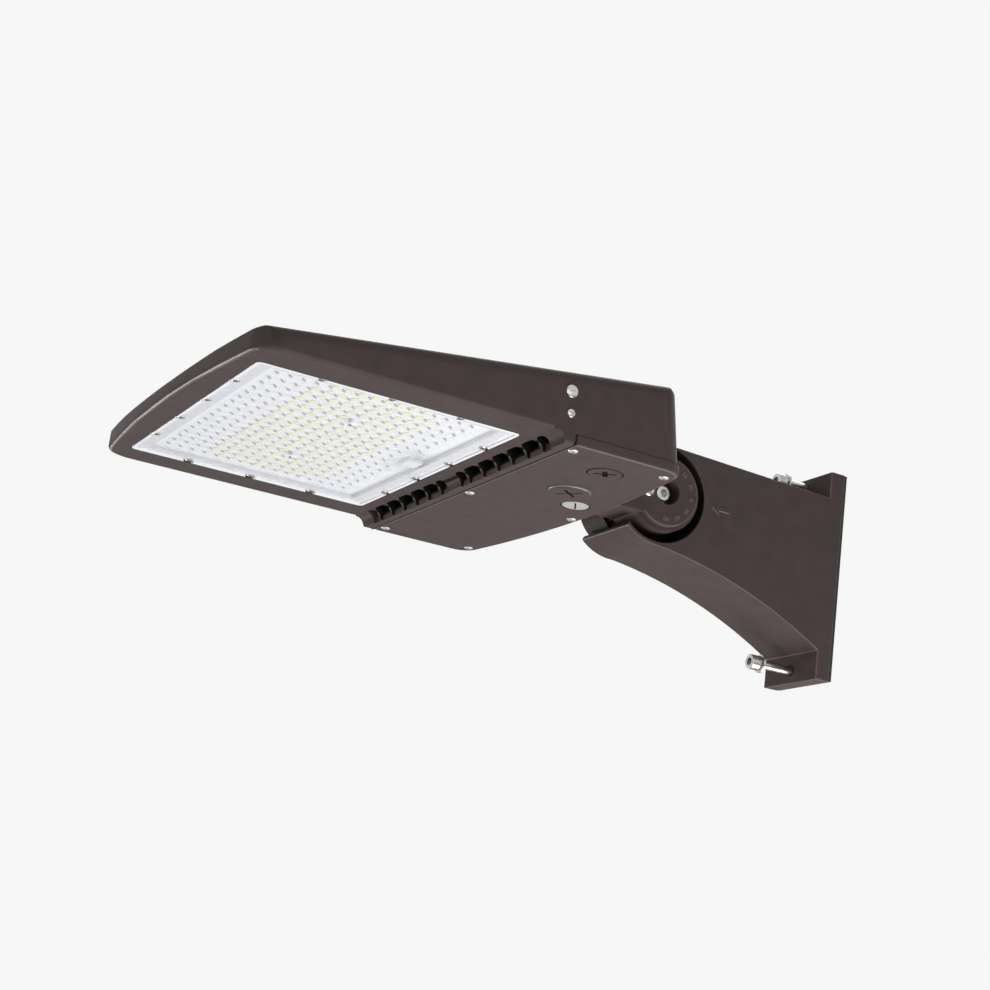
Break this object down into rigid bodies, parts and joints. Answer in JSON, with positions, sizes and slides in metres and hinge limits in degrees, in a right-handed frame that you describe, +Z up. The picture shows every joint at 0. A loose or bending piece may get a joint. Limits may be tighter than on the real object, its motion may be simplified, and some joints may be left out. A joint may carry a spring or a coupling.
{
  "type": "shoebox area light",
  "caption": "Wedge-shaped LED area light head with a clear bumped lens, on a tilting knuckle and a curved pole arm.",
  "frame": {"origin": "centre of the face that meets the pole, on the rubber gasket, midway between the two mounting holes", "axes": "+Y points into the pole, -Y towards the front of the head, +Z up, +X to the side that carries the dial"},
  "size_m": [0.3636, 0.6225, 0.183],
  "materials": {
    "bronze_paint": "fine textured dark bronze powder coat on cast aluminium",
    "stainless": "bright stainless steel",
    "black_rubber": "matt black rubber",
    "clear_lens": "clear moulded polycarbonate",
    "white_board": "metal-core board with white solder mask",
    "phosphor": "yellow phosphor domes",
    "white_plastic": "off-white plastic",
    "driver_case": "plain aluminium case",
    "red_plastic": "dull red plastic",
    "black_nylon": "black nylon",
    "black_wire": "black wire sleeve",
    "red_wire": "red wire sleeve"
  },
  "bodies": {
    "arm": {"mounting_arm": "bronze_paint", "pole_gasket": "black_rubber", "pivot_bolt": "stainless", "pivot_washer": "stainless", "pivot_nut": "stainless", "pivot_nut_washer": "stainless", "pivot_spacer": "stainless", "arm_wire_grommet": "black_rubber"},
    "head": {"knuckle": "bronze_paint", "knuckle_gasket": "black_rubber", "knuckle_screws": "stainless", "dial_screw": "stainless", "housing": "bronze_paint", "lens_panel": "clear_lens", "lens_gasket": "black_rubber", "lens_screws": "stainless", "lens_center_screws": "stainless", "led_board": "white_board", "led_chips": "phosphor", "board_connector": "white_plastic", "driver_cover": "bronze_paint", "cover_gasket": "black_rubber", "cover_screws": "stainless", "sensor_port_cap": "bronze_paint", "wiring_port_plug": "bronze_paint", "wiring_port_seal": "black_rubber", "breather_plug": "stainless", "breather_seal": "black_rubber", "side_plug_screws": "stainless", "side_lock_screws": "stainless", "led_driver": "driver_case", "driver_screws": "stainless", "surge_protector": "red_plastic", "surge_screws": "stainless", "terminal_block": "white_plastic", "terminal_screws": "stainless", "supply_gland": "black_nylon", "supply_gland_nut": "black_nylon", "board_lead": "red_wire", "board_lead_grommet": "black_rubber", "driver_lead": "black_wire", "surge_lead": "black_wire"},
    "upper_bolt": {"upper_mount_bolt": "stainless", "upper_mount_washer": "stainless"},
    "lower_bolt": {"lower_mount_bolt": "stainless", "lower_mount_washer": "stainless"}
  },
  "joints": [
    {"name": "tilt", "type": "hinge", "parent": "arm", "child": "head", "pos_m": [0, -0.184, 0.0295], "axis": [-1, 0, 0], "range_deg": [-10, 75]},
    {"name": "upper_bolt_in", "type": "slide", "parent": "arm", "child": "upper_bolt", "axis": [0, 1, 0], "range_m": [0, 0.02]},
    {"name": "lower_bolt_in", "type": "slide", "parent": "arm", "child": "lower_bolt", "axis": [0, 1, 0], "range_m": [0, 0.0305]}
  ]
}
